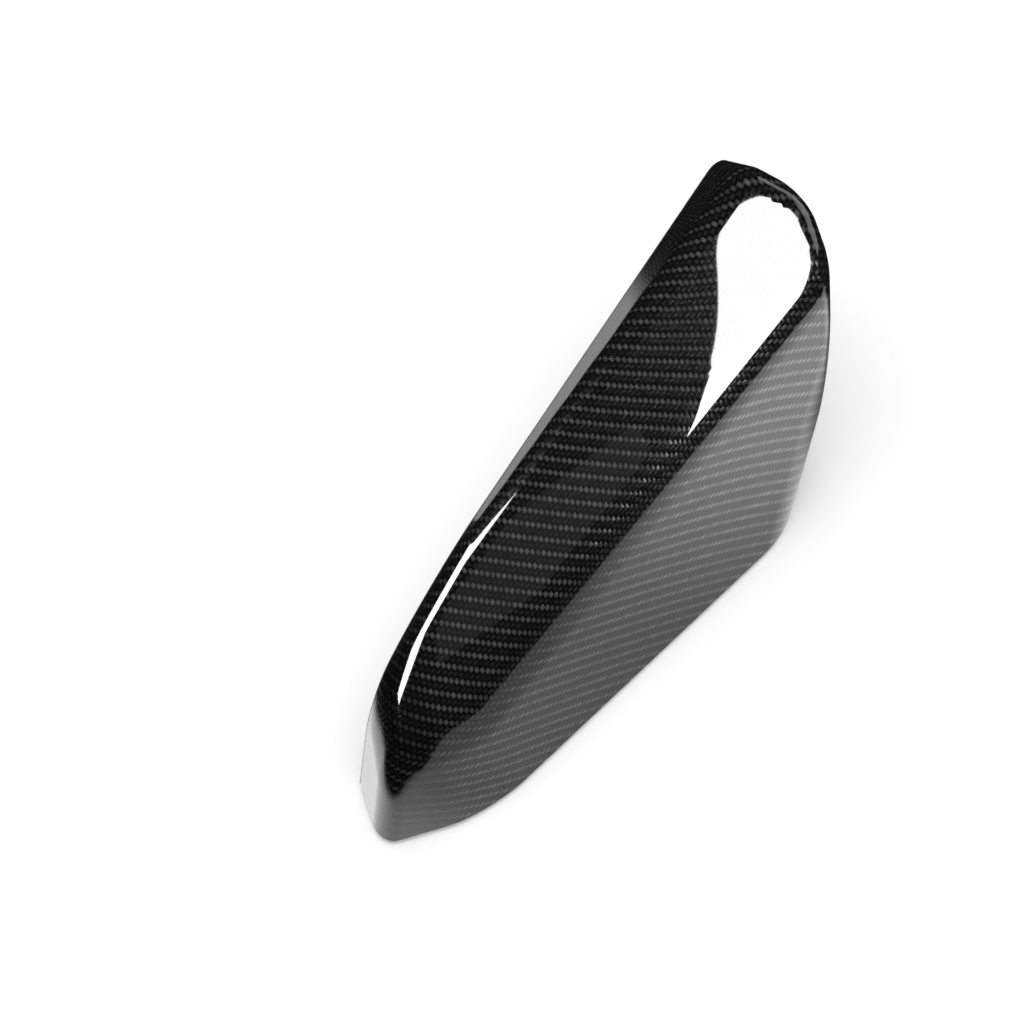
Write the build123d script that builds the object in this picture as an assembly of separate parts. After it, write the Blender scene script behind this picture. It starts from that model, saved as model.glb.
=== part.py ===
from build123d import *
import os
from math import cos, radians, sin

os.makedirs("parts", exist_ok=True)

# Wing mirror cover: one moulded carbon-fibre shell, open at the back, standing on its flat underside.
# While it is shaped the origin is the narrow end's bottom corner of the rim. +X runs to the tall end,
# the front faces -Y, the rim lies in the plane y = 0 and the underside in z = 0. Millimetres and degrees.

wall = 2.0
edge_radius = 7.0
bottom_chamfer = 1.2

# The outside is a set of flat facets with rounded edges between them. For each facet: yaw is the way it
# faces in plan (0 is straight ahead, positive turns to the narrow end), lean is how far it faces up and
# reach is its distance from the origin.
front_yaw = 9.9
front_lean = 11.8
front_reach = 41.8

shoulder_yaw = 23.6
shoulder_lean = 42.0
shoulder_reach = 53.7

lip_yaw = 171.9
lip_lean = 30.5
lip_reach = 38.8

near_lip_yaw = 157.7
near_lip_lean = 24.4
near_lip_reach = 20.5

nose_yaw = 37.7
nose_lean = 8.1
nose_reach = 26.1

near_end_yaw = 128.0
near_end_lean = 8.0
near_end_reach = 0.5

near_top_yaw = 92.0
near_top_lean = 36.4
near_top_reach = 31.7

far_end_yaw = -87.3
far_end_lean = -21.0
far_end_reach = 199.1

far_corner_yaw = -29.7
far_corner_lean = -9.1
far_corner_reach = 150.0

far_brow_yaw = -67.9
far_brow_lean = -2.3
far_brow_reach = 219.9

far_top_yaw = -94.7
far_top_lean = 28.1
far_top_reach = 262.9

# Some edges and corners turn more gently than the edge radius: they are cut back by this much first.
crease_ease = 2.1
crease_end_ease = 3.4
nose_ease = 2.4
front_far_ease = 2.6
far_corner_ease = 3.4
far_brow_ease = 2.7
far_side_ease = 2.7
far_peak_ease = 2.3
lip_bow_ease = 2.2
near_shoulder_ease = 2.6
near_top_ease = 2.6
near_brow_ease = 4.1
near_point_ease = 4.6
near_rim_ease = 2.3
near_lip_ease = 3.8

# The form runs on behind the rim and below the underside, where it is cut off.
overrun = 30.0


def facet(yaw, lean, reach):
    turn = radians(yaw)
    tip = radians(lean)
    return Vector(-sin(turn) * cos(tip), -cos(turn) * cos(tip), sin(tip)), reach


def eased(ease, *neighbours):
    """A narrow facet half way between its neighbours, set back from the sharp edge where they meet."""
    sum_way = sum((way for way, reach in neighbours), Vector(0, 0, 0))
    sum_reach = sum(reach for way, reach in neighbours)
    return sum_way.normalized(), sum_reach / sum_way.length - ease


front = facet(front_yaw, front_lean, front_reach)
shoulder = facet(shoulder_yaw, shoulder_lean, shoulder_reach)
lip = facet(lip_yaw, lip_lean, lip_reach)
near_lip = facet(near_lip_yaw, near_lip_lean, near_lip_reach)
nose = facet(nose_yaw, nose_lean, nose_reach)
near_end = facet(near_end_yaw, near_end_lean, near_end_reach)
near_top = facet(near_top_yaw, near_top_lean, near_top_reach)
far_end = facet(far_end_yaw, far_end_lean, far_end_reach)
far_corner = facet(far_corner_yaw, far_corner_lean, far_corner_reach)
far_brow = facet(far_brow_yaw, far_brow_lean, far_brow_reach)
far_top = facet(far_top_yaw, far_top_lean, far_top_reach)

facets = [front, shoulder, lip, near_lip, nose, near_end, near_top, far_end, far_corner, far_brow, far_top]
facets += [
    eased(crease_ease, front, shoulder),
    eased(crease_end_ease, front, shoulder, nose),
    eased(nose_ease, front, nose),
    eased(front_far_ease, front, far_corner),
    eased(far_corner_ease, far_corner, far_end),
    eased(far_brow_ease, far_corner, far_brow),
    eased(far_side_ease, far_end, far_brow),
    eased(far_peak_ease, far_brow, far_top),
    eased(lip_bow_ease, lip, near_lip),
    eased(near_shoulder_ease, shoulder, near_top),
    eased(near_top_ease, near_end, near_top),
    eased(near_brow_ease, nose, shoulder, near_top),
    eased(near_point_ease, nose, near_end, near_top),
    eased(near_rim_ease, near_lip, near_end),
    eased(near_lip_ease, near_lip, near_end, near_top),
]

# The core is the sharp form, smaller by the edge radius. Grown again, its edges come out rounded, and
# grown by a wall less it is the space inside.
size = 3 * far_end_reach
core = Pos(far_end_reach / 2, overrun - size / 2, size / 2 - overrun) * Box(size, size, size)
for way, reach in facets:
    core = split(core, bisect_by=Plane(way * (reach - edge_radius), z_dir=way), keep=Keep.BOTTOM)
outside = offset(core, amount=edge_radius, kind=Kind.ARC)
inside = offset(core, amount=edge_radius - wall, kind=Kind.ARC)

above_underside = Pos(far_end_reach / 2, -size / 2, size / 2) * Box(size, size, size)
above_floor = Pos(far_end_reach / 2, 0, size / 2 + wall) * Box(size, size, size)
outside = outside & above_underside
bottom_edges = outside.edges().filter_by_position(Axis.Z, -0.01, 0.01)
outside = chamfer(bottom_edges.filter_by_position(Axis.Y, -size, -0.01), bottom_chamfer)
cover = outside - (inside & above_floor)

# The finished cover stands centred over the origin.
corners = cover.tessellate(0.02)[0]
shift_x = -(min(corner.X for corner in corners) + max(corner.X for corner in corners)) / 2
shift_y = -min(corner.Y for corner in corners) / 2
cover = Pos(shift_x, shift_y, 0) * cover
cover.label = "mirror_cover"
export_step(cover, "parts/mirror_cover.step")
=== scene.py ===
import math

import bpy
import numpy as np
from mathutils import Matrix, Vector


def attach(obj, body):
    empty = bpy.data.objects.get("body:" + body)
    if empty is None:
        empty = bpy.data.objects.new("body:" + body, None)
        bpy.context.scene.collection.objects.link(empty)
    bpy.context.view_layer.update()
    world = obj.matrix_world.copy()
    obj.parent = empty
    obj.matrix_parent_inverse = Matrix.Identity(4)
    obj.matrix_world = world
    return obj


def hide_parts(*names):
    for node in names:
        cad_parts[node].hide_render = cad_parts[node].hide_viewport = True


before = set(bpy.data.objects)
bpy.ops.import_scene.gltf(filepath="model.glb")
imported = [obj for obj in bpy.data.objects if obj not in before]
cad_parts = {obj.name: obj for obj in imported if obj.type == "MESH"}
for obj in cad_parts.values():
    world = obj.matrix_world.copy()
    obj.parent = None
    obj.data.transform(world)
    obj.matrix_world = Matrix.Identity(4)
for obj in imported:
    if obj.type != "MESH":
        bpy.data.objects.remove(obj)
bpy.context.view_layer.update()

# Wing mirror cover: one moulded carbon-fibre shell, open at the back, on a white table. The cover is shaped
# in millimetres, with the origin at the narrow end's bottom corner of the rim. +X runs to the tall end, the
# front faces -Y, the rim lies in the plane y = 0 and the underside in z = 0. The studio is in metres.

# The outside is a set of facets that run into each other. For each: yaw is the way it faces in plan (0 is
# straight ahead, positive turns to the narrow end), lean is how far it faces up, both in degrees, reach is
# its distance from the origin and blend is how widely it runs into its neighbours.
FACETS = {
    "front": (9.9, 11.8, 41.8, 7.0),
    "shoulder": (23.6, 42.0, 53.7, 7.0),
    "lip": (171.9, 30.5, 38.8, 7.5),
    "near lip": (157.7, 24.4, 20.5, 7.5),
    "nose": (37.7, 8.1, 26.1, 9.1),
    "near end": (128.0, 8.0, 0.5, 7.2),
    "near top": (92.0, 36.4, 31.7, 9.6),
    "far end": (-87.3, -21.0, 199.1, 10.6),
    "far corner": (-29.7, -9.1, 150.0, 9.7),
    "far brow": (-67.9, -2.3, 219.9, 7.7),
    "far top": (-94.7, 28.1, 262.9, 7.3),
    "underside": (0.0, -90.0, 0.12, 3.0),
}
FRONT = list(FACETS).index("front")
SHOULDER = list(FACETS).index("shoulder")
WALL = 2.0

# The rim's cut edge is rounded on both sides, in these steps of a quarter turn.
EDGE_ROUND = 0.3
ROUND_TURNS = np.radians([30, 60, 90])

UP = np.array([0.0, 0.0, 1.0])
BACK = np.array([0.0, 1.0, 0.0])

# The step from that origin to the one of the part's frame.
PLACE = np.array([-114.060, 36.287, 0.0])
MM_PER_M = 1000.0
WELD_DECIMALS = 4

# The skin is a grid of points, where lines of sight from one point on the rim's bottom edge meet it. The
# cloth and the inside are worked out on fewer lines, with smooth values put between them.
EYE_X = 165.0
SIGHT = 420.0
HALVINGS = 44
ALONG, OVER = 400, 168
CLOTH_STEP = 4
INSIDE_STEP = 2
INSIDE_OVER = OVER // 4
BOTTOM_COLUMNS = 10
FLOOR_COLUMNS = 8

# The cloth: the width of a tow, and the ways of the two sets of tows on the shoulder. The cloth is pulled
# together along its twill rows, and slides sideways below the crease of the front.
TOW = 1.71
TOW_WAY = np.array([0.9525, -0.2383, 0.1899])
CROSS_WAY = np.array([0.1066, 0.6860, 0.7197])
ROW_PULL = 0.11
CREASE_SLIDE = np.array([-0.218, 0.060])
UNWRAP_ROUNDS = 60
ON_FACET = 0.9

# One map holds all the finishes: its size in millimetres, and where each part of the cover starts on it.
MAP_SIZE = 640.0
CLOTH_MAP = 0.01
INSIDE_MAP = (0.55, 0.05)
EDGE_MAP = (0.55, 0.45)
BOTTOM_MAP = (0.55, 0.80)
FLOOR_MAP = (0.55, 0.93)
CLOTH_FINISH, SATIN_FINISH, CUT_FINISH = 0, 1, 2

# The twill repeats every four tows. Filaments and the tone of whole tows: how fine across and along a tow.
TWILL = 4.0
STRANDS, STRANDS_RUN, STRANDS_SHARE = 9.0, 0.35, 0.7
TONES, TONES_RUN = 3.7, 0.02

# How bright the two sets of tows are painted, on skin that stands and on skin that faces up: a painted
# sheen.
ALONG_PAINTED_SHEEN = 0.55, 0.08
DOWN_PAINTED_SHEEN = 0.06, 0.40

# Which way the skin has to face to count as facing up (by z), to the front and standing (by y), and clear
# of the narrow end (by x), from not at all to fully. The shares are what is left of the painted sheen
# elsewhere:
# a painted shade on skin that faces away from the front and near the narrow end.
FACES_UP = 0.30, 0.55
FACES_FRONT, OFF_FRONT_SHADE_SHARE = (0.15, -0.45), 0.55
STANDS = -0.74, -0.88
CLEAR_OF_END, END_SHADE_SHARE = (-0.60, -0.34), 0.40

# A float that faces up has a painted glint in its middle; between two floats a little of the glint is left.
GLINT_NARROW = 1.30
GAP_GLINT = 0.25

RESIN = (0.0020, 0.0020, 0.0020, 1)
FIBRE = (0.220, 0.220, 0.223, 1)
FIBRE_SHINE = 1.9
STRANDS_RELIEF = 0.15

# The white paper on the table, which shows only in the cover's gloss; beyond it the table is painted dark
# in the gloss.
PAPER_FRONT = -0.245
PAPER_LEFT = -0.154
PAPER_BACK_NEAR, PAPER_BACK_FAR = 0.09, 0.24
PAPER_BACK_STEP = -0.01, 0.03
PAPER_RIGHT, PAPER_SLANT = 0.165, 0.15
PAPER_FADE = 0.012
TABLE_TONE, PAPER_TONE, DARK_TONE = 0.80, 0.62, 0.01
TABLE_GLOW = 0.30
TABLE_HALF = 4.0

# Painted pools of light, which glow in the gloss, and a painted shade on the paper: the middle, then the
# inner and outer radius.
FRONT_POOL = (0.150, -0.160), 0.050, 0.210
FRONT_POOL_GLOW = 0.10, 1.25
NEAR_POOL = (-0.115, 0.050), 0.030, 0.075
RIGHT_SHADE = (0.150, 0.000), 0.045, 0.090
SHADE_SHARE = 0.15

# The outlines of the front softbox and of a dim panel in one upright plane, as x and z.
FRONT_BOX_Y = -0.75
FRONT_BOX = [
    (0.070, 0.002), (0.066, 0.006), (0.060, 0.060), (0.024, 0.217), (0.000, 0.325), (-0.008, 0.351),
    (0.010, 0.367), (0.026, 0.389), (0.042, 0.417), (0.064, 0.426), (0.088, 0.416), (0.087, 0.360),
    (0.125, 0.222), (0.160, 0.100), (0.180, 0.006), (0.176, 0.002),
]
CORNER_CUTS = 3
WALL_PANEL = [(-0.240, 0.303), (-0.240, 0.352), (-0.060, 0.352), (-0.060, 0.303)]
ROOM_TONE = 0.03

CAMERA_PLACE = (-0.4814, -0.2835, 1.1234)
CAMERA_AZIMUTH, CAMERA_ELEVATION = -55.5, 62.0
LENS, SENSOR = 117.25, 36.0


# The form.


def facet_rows():
    yaw, lean, reach, blend = np.array(list(FACETS.values())).T
    yaw, lean = np.radians(yaw), np.radians(lean)
    way = np.stack([-np.sin(yaw) * np.cos(lean), -np.cos(yaw) * np.cos(lean), np.sin(lean)], axis=1)
    return way, reach, blend


WAY, REACH, BLEND = facet_rows()


def pressed(points, inset):
    """How far each facet's blend is used up at the points, on a skin set in by the inset."""
    return np.maximum(0.0, 1.0 + (points @ WAY.T - REACH + inset) / BLEND)


def outward(points, inset):
    """The way the skin faces at the points."""
    way = (pressed(points, inset) / BLEND) @ WAY
    return way / np.linalg.norm(way, axis=-1, keepdims=True)


def skin(inset, along, over):
    """A grid of points on the skin, seen from the rim's bottom edge, and the way the skin faces there."""
    eye = np.array([EYE_X, -EDGE_ROUND, inset])
    a = np.linspace(0.0, math.pi, along + 1)[:, None]
    b = np.linspace(0.0, math.pi / 2, over + 1)[None, :]
    step = np.stack([-np.cos(a) + 0 * b, -np.sin(a) * np.cos(b), np.sin(a) * np.sin(b)], axis=-1)
    near = np.zeros(step.shape[:2])
    far = np.full(step.shape[:2], SIGHT)
    for _ in range(HALVINGS):
        half = (near + far) / 2
        within = (pressed(eye + half[..., None] * step, inset) ** 2).sum(axis=-1) <= 1.0
        near = np.where(within, half, near)
        far = np.where(within, far, half)
    points = eye + near[..., None] * step
    return points, outward(points, inset)


def refine(grid, times, axes=(0, 1)):
    """Puts smooth values between those of a coarse grid, along the axes."""
    for axis in axes:
        rows = np.moveaxis(grid, axis, 0)
        ends = np.concatenate([[2 * rows[0] - rows[1]], rows, [2 * rows[-1] - rows[-2]]])
        made = []
        for k in range(len(rows) - 1):
            p0, p1, p2, p3 = ends[k:k + 4]
            for t in np.arange(times) / times:
                slope = (p2 - p0) * t
                bend = (2 * p0 - 5 * p1 + 4 * p2 - p3) * t * t
                twist = (3 * p1 - p0 - 3 * p2 + p3) * t ** 3
                made.append(0.5 * (2 * p1 + slope + bend + twist))
        made.append(rows[-1])
        grid = np.moveaxis(np.array(made), 0, axis)
    return grid


def grid_faces(rows, cols):
    i, j = np.meshgrid(np.arange(rows), np.arange(cols), indexing="ij")
    k = i * (cols + 1) + j
    return np.stack([k, k + 1, k + cols + 2, k + cols + 1], axis=-1).reshape(-1, 4)


class Shell:
    """Gathers grids of points into one mesh, joined where they touch."""

    def __init__(self):
        self.points, self.ways, self.maps, self.faces, self.finish = [], [], [], [], []
        self.count = 0

    def add(self, points, ways, maps, finish):
        rows, cols = points.shape[0] - 1, points.shape[1] - 1
        faces = grid_faces(rows, cols)
        flat, facing = points.reshape(-1, 3), ways.reshape(-1, 3)
        cross = np.cross(flat[faces[:, 2]] - flat[faces[:, 0]], flat[faces[:, 3]] - flat[faces[:, 1]])
        if (cross * facing[faces[:, 0]]).sum() < 0:
            faces = faces[:, ::-1]
        self.points.append(flat)
        self.ways.append(facing)
        self.maps.append(maps.reshape(-1, 2))
        self.faces.append(faces + self.count)
        self.finish.append(np.full(len(faces), finish))
        self.count += len(flat)

    def make(self, name, materials):
        points, ways, maps = (np.concatenate(part) for part in (self.points, self.ways, self.maps))
        faces, finish = np.concatenate(self.faces), np.concatenate(self.finish)
        near = np.round(points, WELD_DECIMALS)
        _, first, joined = np.unique(near, axis=0, return_index=True, return_inverse=True)
        joined = joined.reshape(-1)
        polygons, corners, kept = [], [], []
        for face, kind in zip(faces, finish):
            ring = [c for n, c in enumerate(face) if joined[c] != joined[face[n - 1]]]
            if len(ring) > 2:
                polygons.append([int(joined[c]) for c in ring])
                corners.extend(ring)
                kept.append(int(kind))
        mesh = bpy.data.meshes.new(name)
        mesh.from_pydata(((points[first] + PLACE) / MM_PER_M).tolist(), [], polygons)
        mesh.polygons.foreach_set("material_index", kept)
        mesh.polygons.foreach_set("use_smooth", [True] * len(kept))
        mesh.uv_layers.new(name="cloth").data.foreach_set("uv", maps[corners].ravel())
        for material in materials:
            mesh.materials.append(material)
        mesh.update()
        mesh.normals_split_custom_set(ways[corners].tolist())
        piece = bpy.data.objects.new(name, mesh)
        bpy.context.scene.collection.objects.link(piece)
        return piece


def plate(edge, columns):
    """Fills flat from a curved edge straight across to the rim's bottom line. Also gives that line."""
    length = np.concatenate([[0.0], np.cumsum(np.linalg.norm(np.diff(edge, axis=0), axis=1))])
    share = (length / length[-1])[:, None]
    line = edge[0] + share * (edge[-1] - edge[0])
    across = np.linspace(0.0, 1.0, columns + 1)[None, :, None]
    return edge[:, None] + across * (line - edge)[:, None], line


def cut_band(outside, within, facing):
    """The cut edge from the outer skin's last line to the inner one's, rounded on both sides."""
    width = within - outside
    span = width / np.linalg.norm(width, axis=1, keepdims=True)
    points, ways = [outside], [facing]
    for start, inward, turns in ((outside, span, ROUND_TURNS), (within, -span, ROUND_TURNS[::-1])):
        for turn in turns:
            moved = start + inward * EDGE_ROUND * (1 - np.cos(turn))
            points.append(moved + EDGE_ROUND * np.sin(turn) * BACK)
            ways.append(-inward * np.cos(turn) + np.sin(turn) * BACK)
    points.append(within)
    ways.append(span)
    points, ways = np.stack(points, axis=1), np.stack(ways, axis=1)
    return points, ways / np.linalg.norm(ways, axis=-1, keepdims=True)


# The lay of the cloth.


def flatten(points):
    """Flattens a grid of the skin with the least stretch. Its first and last rows are one point each."""
    rows, cols = points.shape[0] - 1, points.shape[1] - 1
    flat = points.reshape(-1, 3)
    index = np.arange(len(flat)).reshape(rows + 1, cols + 1)
    index[0], index[-1] = index[0, 0], index[-1, 0]
    polygons = []
    for face in grid_faces(rows, cols):
        ring = []
        for corner in index.reshape(-1)[face]:
            if corner not in ring:
                ring.append(int(corner))
        polygons.append(ring[::-1])
    used = np.unique(index)
    number = {int(u): n for n, u in enumerate(used)}
    mesh = bpy.data.meshes.new("flattening")
    mesh.from_pydata(flat[used].tolist(), [], [[number[c] for c in ring] for ring in polygons])
    mesh.uv_layers.new(name="cloth")
    piece = bpy.data.objects.new("flattening", mesh)
    bpy.context.scene.collection.objects.link(piece)
    bpy.context.view_layer.objects.active = piece
    piece.select_set(True)
    bpy.ops.object.mode_set(mode="EDIT")
    bpy.ops.mesh.select_all(action="SELECT")
    bpy.ops.uv.unwrap(method="MINIMUM_STRETCH", iterations=UNWRAP_ROUNDS, margin=0.0)
    bpy.ops.object.mode_set(mode="OBJECT")
    corner_maps = np.empty(2 * len(mesh.loops))
    mesh.uv_layers[0].data.foreach_get("uv", corner_maps)
    corner_points = np.empty(len(mesh.loops), dtype=np.int32)
    mesh.loops.foreach_get("vertex_index", corner_points)
    maps = np.zeros((len(flat), 2))
    maps[used[corner_points]] = corner_maps.reshape(-1, 2)
    bpy.data.objects.remove(piece)
    bpy.data.meshes.remove(mesh)
    return maps[index]


def below_crease(points):
    """How far down the front the points lie from the crease between front and shoulder."""
    front, shoulder = WAY[FRONT], WAY[SHOULDER]
    crease = np.cross(front, shoulder)
    start = np.linalg.solve([front, shoulder, crease], [REACH[FRONT], REACH[SHOULDER], 0.0])
    down = np.cross(front, crease)
    down = down / np.linalg.norm(down)
    return np.maximum(0.0, (points - start) @ down)


def lay_cloth(points):
    """The points' places on the flat cloth in millimetres, lined up with the tows on the shoulder."""
    maps = flatten(points)
    on_shoulder = pressed(points, 0.0)[..., SHOULDER] > ON_FACET
    here, there = points[on_shoulder], maps[on_shoulder]
    plane = np.stack([here @ TOW_WAY, here @ CROSS_WAY], axis=1)
    plane = plane - plane.mean(axis=0)
    away = there - there.mean(axis=0)
    fit = np.linalg.lstsq(away, plane, rcond=None)[0]
    left, size, right = np.linalg.svd(fit)
    maps = maps @ (left @ right) * size.mean()
    row = np.array([1.0, -1.0]) / math.sqrt(2.0)
    maps = maps + ROW_PULL * (maps @ row)[..., None] * row
    return maps + below_crease(points)[..., None] * CREASE_SLIDE


# Materials.


class Nodes:
    """Shorthand for building a material's node tree."""

    def __init__(self, name):
        self.material = bpy.data.materials.new(name)
        self.material.use_nodes = True
        self.tree = self.material.node_tree
        self.shader = self.tree.nodes["Principled BSDF"]
        self.output = self.tree.nodes["Material Output"]

    def node(self, kind, **settings):
        node = self.tree.nodes.new(kind)
        for key, value in settings.items():
            setattr(node, key, value)
        return node

    def link(self, start, end):
        self.tree.links.new(start, end)

    def put(self, socket, value):
        if isinstance(value, bpy.types.NodeSocket):
            self.link(value, socket)
        else:
            socket.default_value = value

    def shade(self, name, value):
        self.put(self.shader.inputs[name], value)

    def math(self, operation, *values):
        node = self.node("ShaderNodeMath", operation=operation)
        for socket, value in zip(node.inputs, values):
            self.put(socket, value)
        return node.outputs[0]

    def plus(self, first, second):
        return self.math("ADD", first, second)

    def minus(self, first, second):
        return self.math("SUBTRACT", first, second)

    def times(self, first, second):
        return self.math("MULTIPLY", first, second)

    def mix(self, share, first, second):
        node = self.node("ShaderNodeMix", data_type="FLOAT")
        for socket, value in zip((node.inputs[0], node.inputs[2], node.inputs[3]), (share, first, second)):
            self.put(socket, value)
        return node.outputs[0]

    def colour(self, share, first, second):
        node = self.node("ShaderNodeMix", data_type="RGBA")
        for socket, value in zip((node.inputs[0], node.inputs[6], node.inputs[7]), (share, first, second)):
            self.put(socket, value)
        return node.outputs[2]

    def noise(self, vector, scale, detail):
        node = self.node("ShaderNodeTexNoise")
        self.put(node.inputs["Vector"], vector)
        node.inputs["Scale"].default_value = scale
        node.inputs["Detail"].default_value = detail
        return node.outputs["Fac"]

    def vector(self, x, y, z):
        node = self.node("ShaderNodeCombineXYZ")
        for socket, value in zip(node.inputs, (x, y, z)):
            self.put(socket, value)
        return node.outputs[0]

    def axes(self, vector):
        node = self.node("ShaderNodeSeparateXYZ")
        self.link(vector, node.inputs[0])
        return node.outputs

    def ramp(self, value, start, end):
        """A smooth rise from 0 at the start to 1 at the end."""
        node = self.node("ShaderNodeMapRange", interpolation_type="SMOOTHSTEP")
        low, high = min(start, end), max(start, end)
        self.put(node.inputs[0], value)
        node.inputs[1].default_value, node.inputs[2].default_value = low, high
        node.inputs[3].default_value = 0.0 if start < end else 1.0
        node.inputs[4].default_value = 1.0 if start < end else 0.0
        return node.outputs[0]

    def bump(self, height, strength, distance):
        node = self.node("ShaderNodeBump")
        node.inputs["Strength"].default_value = strength
        node.inputs["Distance"].default_value = distance
        self.link(height, node.inputs["Height"])
        return node.outputs[0]


def carbon():
    """2/2 twill of black tows under a smooth clear coat."""
    n = Nodes("carbon_twill")

    def off_middle(share):
        return n.math("ABSOLUTE", n.minus(n.times(share, 2.0), 1.0))

    def arch(off):
        return n.minus(1.0, n.math("POWER", off, 2.0))

    def streaks(x, y, layer, detail):
        return n.noise(n.vector(x, y, layer), 1.0, detail)

    # Tows run down and along the sheet: a counts those that run down, and b those that run along.
    u, v, _ = n.axes(n.node("ShaderNodeUVMap", uv_map="cloth").outputs[0])
    a = n.times(u, MAP_SIZE / TOW)
    b = n.times(v, -MAP_SIZE / TOW)
    i = n.math("FLOOR", a)
    j = n.math("FLOOR", b)

    # A tow that runs down lies on top in two cells of every four, one step on from tow to tow. The run goes
    # from 0 to 1 along each float, and the side from 0 to 1 across it.
    step = n.math("FLOORED_MODULO", n.minus(i, j), TWILL)
    down = n.math("LESS_THAN", step, 1.5)
    run_down = n.times(n.math("FLOORED_MODULO", n.plus(n.minus(b, i), 1.0), TWILL), 0.5)
    run_along = n.times(n.minus(n.math("FLOORED_MODULO", n.minus(a, j), TWILL), 2.0), 0.5)
    run = n.mix(down, run_along, run_down)
    side = n.mix(down, n.math("FRACT", b), n.math("FRACT", a))

    # Each float is rounded across and dips under its neighbours at its ends.
    end = off_middle(run)
    crown = arch(off_middle(side))
    height = n.times(crown, arch(end))

    # Filaments run along the tow; tows differ a little from each other.
    strands_down = streaks(n.times(a, STRANDS), n.times(b, STRANDS_RUN), layer=0.0, detail=3.0)
    strands_along = streaks(n.times(a, STRANDS_RUN), n.times(b, STRANDS), layer=5.0, detail=3.0)
    strands = n.mix(down, strands_along, strands_down)
    tone_down = streaks(n.times(i, TONES), n.times(b, TONES_RUN), layer=2.0, detail=0.0)
    tone_along = streaks(n.times(a, TONES_RUN), n.times(j, TONES), layer=9.0, detail=0.0)
    tone = n.plus(n.mix(down, tone_along, tone_down), n.times(strands, STRANDS_SHARE))

    # Painted sheen: the tows that run down are painted brighter where the skin faces up, the others where
    # it stands.
    facing_x, facing_y, facing_z = n.axes(n.node("ShaderNodeNewGeometry").outputs["Normal"])
    upward = n.ramp(facing_z, *FACES_UP)
    bright = n.mix(down, n.mix(upward, *ALONG_PAINTED_SHEEN), n.mix(upward, *DOWN_PAINTED_SHEEN))
    # Painted shade: the tows are painted darker where the skin faces away from the front and near the
    # narrow end.
    front_painted_shade = n.mix(n.ramp(facing_y, *FACES_FRONT), OFF_FRONT_SHADE_SHARE, 1.0)
    end_painted_shade = n.mix(n.ramp(facing_x, *CLEAR_OF_END), END_SHADE_SHARE, 1.0)
    bright = n.times(bright, n.times(front_painted_shade, end_painted_shade))
    # The painted glint in the middle of floats that face up.
    middle = n.math("MAXIMUM", arch(n.times(end, GLINT_NARROW)), 0.0)
    glint = n.times(n.mix(crown, GAP_GLINT, 1.0), middle)
    light = n.times(n.times(bright, tone), n.mix(upward, height, glint))

    # The base colour holds the weave with its painted sheen, shade and glint; the metal share follows it
    # where the skin stands.
    n.shade("Base Color", n.colour(light, RESIN, FIBRE))
    n.shade("Metallic", n.times(n.times(light, FIBRE_SHINE), n.ramp(facing_y, *STANDS)))
    n.shade("Roughness", n.mix(strands, 0.10, 0.18))
    n.shade("Specular IOR Level", 0.02)
    relief = n.plus(height, n.times(strands, STRANDS_RELIEF))
    n.shade("Normal", n.bump(relief, strength=0.6, distance=0.00012))
    n.shade("Coat Weight", 1.0)
    n.shade("Coat Roughness", 0.015)
    n.shade("Coat IOR", 1.5)
    return n.material


def inside_black():
    """Satin black resin with the faint print of the peel ply it was laid against."""
    n = Nodes("inside_satin")
    place = n.node("ShaderNodeTexCoord").outputs["Object"]
    cloud = n.noise(place, scale=45.0, detail=4.0)
    grain = n.noise(place, scale=900.0, detail=2.0)
    n.shade("Base Color", n.colour(cloud, (0.006, 0.006, 0.0065, 1), (0.014, 0.014, 0.0145, 1)))
    n.shade("Roughness", n.mix(grain, 0.38, 0.58))
    n.shade("Normal", n.bump(grain, strength=0.35, distance=0.0002))
    return n.material


def cut_edge():
    """The sawn and sanded edge of the laminate."""
    n = Nodes("cut_edge")
    place = n.node("ShaderNodeTexCoord").outputs["Object"]
    grain = n.noise(place, scale=1500.0, detail=3.0)
    cloud = n.noise(place, scale=120.0, detail=2.0)
    share = n.plus(n.times(grain, 0.6), n.times(cloud, 0.4))
    n.shade("Base Color", n.colour(share, (0.02, 0.02, 0.021, 1), (0.16, 0.16, 0.16, 1)))
    n.shade("Roughness", n.mix(grain, 0.35, 0.6))
    n.shade("Normal", n.bump(grain, strength=0.4, distance=0.0001))
    return n.material


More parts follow.
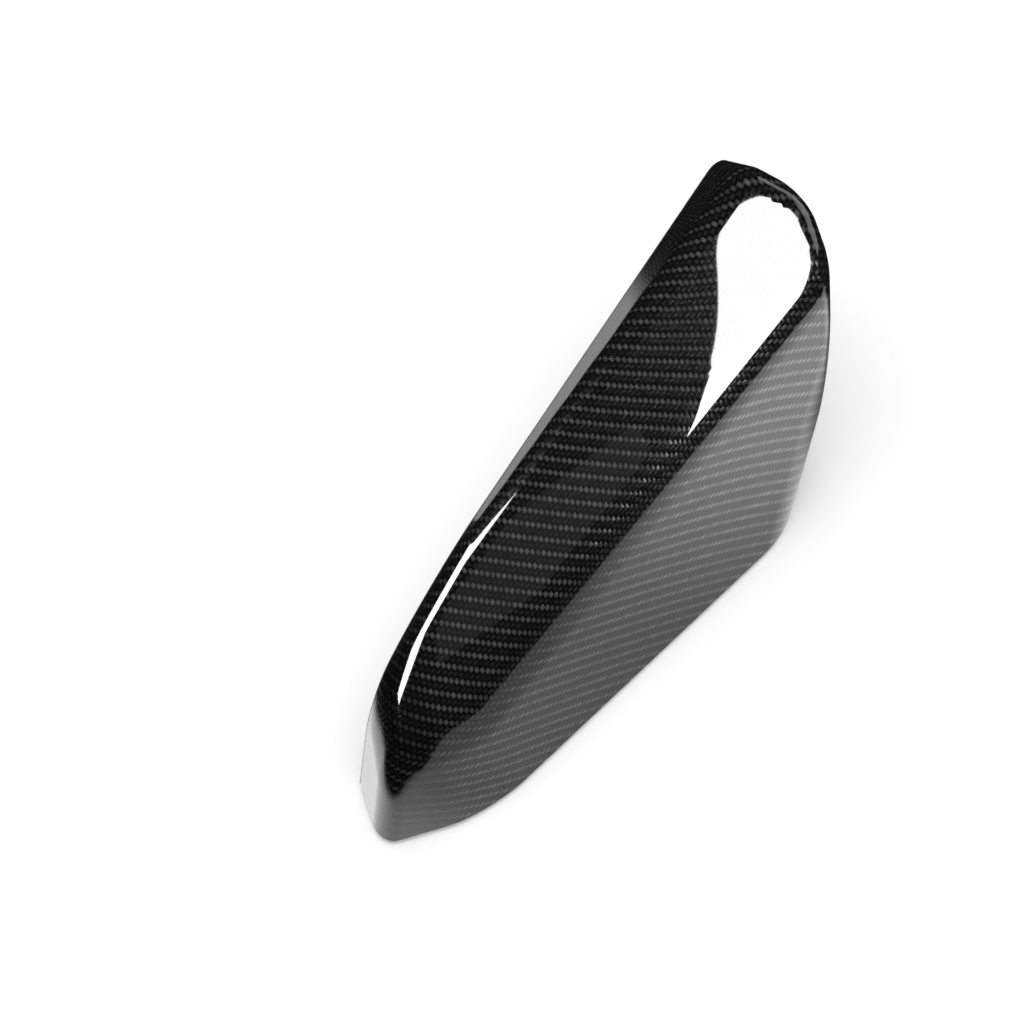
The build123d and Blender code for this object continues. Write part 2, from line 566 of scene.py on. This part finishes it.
def studio_floor():
    """White table top. The camera sees it white; the gloss sees the paper near the cover, with painted
    pools of light and a painted shade, and the table beyond it painted dark.
    """
    n = Nodes("studio_floor")
    place = n.node("ShaderNodeTexCoord").outputs["Object"]
    x, y, _ = n.axes(place)
    path = n.node("ShaderNodeLightPath")
    glossy = path.outputs["Is Glossy Ray"]

    def spot(middle, inner, outer):
        away = n.node("ShaderNodeVectorMath", operation="DISTANCE")
        n.link(place, away.inputs[0])
        away.inputs[1].default_value = (*middle, 0.0)
        return n.ramp(away.outputs["Value"], outer, inner)

    front = n.ramp(y, PAPER_FRONT - PAPER_FADE, PAPER_FRONT + PAPER_FADE)
    back_line = n.mix(n.ramp(x, *PAPER_BACK_STEP), PAPER_BACK_NEAR, PAPER_BACK_FAR)
    back = n.ramp(n.minus(y, back_line), PAPER_FADE, -PAPER_FADE)
    left = n.ramp(x, PAPER_LEFT - PAPER_FADE, PAPER_LEFT + PAPER_FADE)
    beside = n.plus(x, n.times(y, PAPER_SLANT))
    right = n.ramp(beside, PAPER_RIGHT + PAPER_FADE, PAPER_RIGHT - PAPER_FADE)
    paper = n.times(n.times(front, back), n.times(left, right))
    # A painted shade on the paper to the right of the cover.
    paper = n.times(paper, n.mix(spot(*RIGHT_SHADE), 1.0, SHADE_SHARE))

    white = n.node("ShaderNodeBsdfDiffuse")
    # Glossy rays see the paper, and the table beyond it painted dark.
    seen = n.mix(glossy, 1.0, paper)
    n.link(n.mix(seen, DARK_TONE, n.mix(glossy, TABLE_TONE, PAPER_TONE)), white.inputs[0])
    glow = n.node("ShaderNodeEmission")
    # Painted pools of light: the paper glows in the gloss, though no lamp lights it there.
    pools = n.plus(n.mix(spot(*FRONT_POOL), *FRONT_POOL_GLOW), spot(*NEAR_POOL))
    in_gloss = n.times(n.times(glossy, paper), pools)
    n.link(n.plus(n.times(path.outputs["Is Camera Ray"], TABLE_GLOW), in_gloss), glow.inputs[1])
    both = n.node("ShaderNodeAddShader")
    n.link(white.outputs[0], both.inputs[0])
    n.link(glow.outputs[0], both.inputs[1])
    n.link(both.outputs[0], n.output.inputs[0])
    n.tree.nodes.remove(n.shader)
    return n.material


# The cover.


def build_cover():
    shell = Shell()
    outer, outer_ways = skin(0.0, ALONG, OVER)
    coarse, _ = skin(0.0, ALONG // CLOTH_STEP, OVER // CLOTH_STEP)
    cloth = refine(lay_cloth(coarse), CLOTH_STEP)
    cloth = (cloth - cloth.reshape(-1, 2).min(axis=0)) / MAP_SIZE + CLOTH_MAP
    shell.add(outer, outer_ways, cloth, CLOTH_FINISH)

    inner, inner_ways = skin(WALL, ALONG // INSIDE_STEP, INSIDE_OVER)
    inner = refine(inner, INSIDE_STEP, axes=[0])
    inner_ways = refine(inner_ways, INSIDE_STEP, axes=[0])
    shell.add(inner, -inner_ways, inner[..., [0, 2]] / MAP_SIZE + INSIDE_MAP, SATIN_FINISH)

    bottom, outer_line = plate(outer[:, 0], BOTTOM_COLUMNS)
    floor, inner_line = plate(inner[:, 0], FLOOR_COLUMNS)
    for points, way, corner, finish in (
        (bottom, -UP, BOTTOM_MAP, CLOTH_FINISH),
        (floor, UP, FLOOR_MAP, SATIN_FINISH),
    ):
        maps = points[..., :2] * (1, -1) / MAP_SIZE + corner
        shell.add(points, np.zeros_like(points) + way, maps, finish)

    # The cut edge runs over the top from end to end, and back along the bottom.
    over_top = cut_band(outer[:, -1], inner[:, -1], outer_ways[:, -1])
    along_bottom = cut_band(outer_line, inner_line, np.zeros_like(outer_line) - UP)
    for points, ways in (over_top, along_bottom):
        shell.add(points, ways, points[..., [0, 2]] / MAP_SIZE + EDGE_MAP, CUT_FINISH)

    piece = shell.make("cover_shell", [carbon(), inside_black(), cut_edge()])
    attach(piece, "root")
    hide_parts("mirror_cover")


# Stage, light and camera.


def build_stage():
    corners = [(x * TABLE_HALF, y * TABLE_HALF, 0) for x, y in ((-1, -1), (1, -1), (1, 1), (-1, 1))]
    mesh = bpy.data.meshes.new("studio_table")
    mesh.from_pydata(corners, [], [(0, 1, 2, 3)])
    mesh.materials.append(studio_floor())
    floor = bpy.data.objects.new("studio_table", mesh)
    bpy.context.scene.collection.objects.link(floor)


def softbox(name, place, aim, width, height, radiance):
    light = bpy.data.lights.new(name, "AREA")
    light.shape = "RECTANGLE"
    light.size, light.size_y = width, height
    light.energy = radiance * math.pi * width * height
    lamp = bpy.data.objects.new(name, light)
    lamp.location = place
    lamp.rotation_mode = "QUATERNION"
    lamp.rotation_quaternion = (Vector(aim) - Vector(place)).to_track_quat("-Z", "Y")
    lamp.visible_camera = False
    bpy.context.scene.collection.objects.link(lamp)
    return lamp


def rounded(corners):
    """Cuts the corners of an outline off, a few times over."""
    outline = np.array(corners)
    for _ in range(CORNER_CUTS):
        following = np.roll(outline, -1, axis=0)
        cut = np.stack([0.75 * outline + 0.25 * following, 0.25 * outline + 0.75 * following], axis=1)
        outline = cut.reshape(-1, 2)
    return outline.tolist()


def light_card(name, outline, radiance):
    """A glowing sheet of any outline in the softbox's plane, seen only in the gloss."""
    material = bpy.data.materials.new(name)
    material.use_nodes = True
    tree = material.node_tree
    glow = tree.nodes.new("ShaderNodeEmission")
    glow.inputs[1].default_value = radiance
    tree.links.new(glow.outputs[0], tree.nodes["Material Output"].inputs[0])
    tree.nodes.remove(tree.nodes["Principled BSDF"])
    mesh = bpy.data.meshes.new(name)
    mesh.from_pydata([(x, FRONT_BOX_Y, z) for x, z in outline], [], [range(len(outline))])
    mesh.materials.append(material)
    card = bpy.data.objects.new(name, mesh)
    bpy.context.scene.collection.objects.link(card)
    card.visible_camera = card.visible_diffuse = card.visible_shadow = False


def build_lights():
    """A soft ceiling lights the scene; the bright boxes show only in the gloss."""
    ceiling = softbox(
        "ceiling",
        place=(0.0, 0.05, 1.3), aim=(0.0, 0.05, 0.0),
        width=1.3, height=1.3, radiance=4.0,
    )
    overhead = softbox(
        "overhead_softbox",
        place=(-1.27, 0.30, 0.90), aim=(-1.27, 0.30, 0.0),
        width=1.95, height=1.00, radiance=26.0,
    )
    beside = softbox(
        "right_softbox",
        place=(0.75, -0.72, 0.27), aim=(0.10, 0.0, 0.13),
        width=0.85, height=0.50, radiance=2.3,
    )
    ceiling.visible_glossy = False
    overhead.visible_diffuse = False
    beside.visible_diffuse = False
    light_card("front_softbox", rounded(FRONT_BOX), radiance=24.0)
    light_card("wall_panel", WALL_PANEL, radiance=0.27)
    world = bpy.data.worlds.new("studio")
    world.use_nodes = True
    world.node_tree.nodes["Background"].inputs[0].default_value = (ROOM_TONE, ROOM_TONE, ROOM_TONE, 1)
    bpy.context.scene.world = world


def build_camera():
    azimuth, elevation = math.radians(CAMERA_AZIMUTH), math.radians(CAMERA_ELEVATION)
    level = math.cos(elevation)
    back = Vector((math.sin(azimuth) * level, -math.cos(azimuth) * level, math.sin(elevation)))
    right = Vector((math.cos(azimuth), math.sin(azimuth), 0))
    up = back.cross(right)
    turn = Matrix((right, up, back)).transposed().to_4x4()
    data = bpy.data.cameras.new("camera")
    data.lens, data.sensor_width = LENS, SENSOR
    data.clip_start, data.clip_end = 0.05, 50.0
    camera = bpy.data.objects.new("camera", data)
    camera.matrix_world = Matrix.Translation(CAMERA_PLACE) @ turn
    bpy.context.scene.collection.objects.link(camera)
    bpy.context.scene.camera = camera


build_cover()
build_stage()
build_lights()
build_camera()
bpy.context.scene.view_settings.view_transform = "Standard"

bpy.context.view_layer.update()
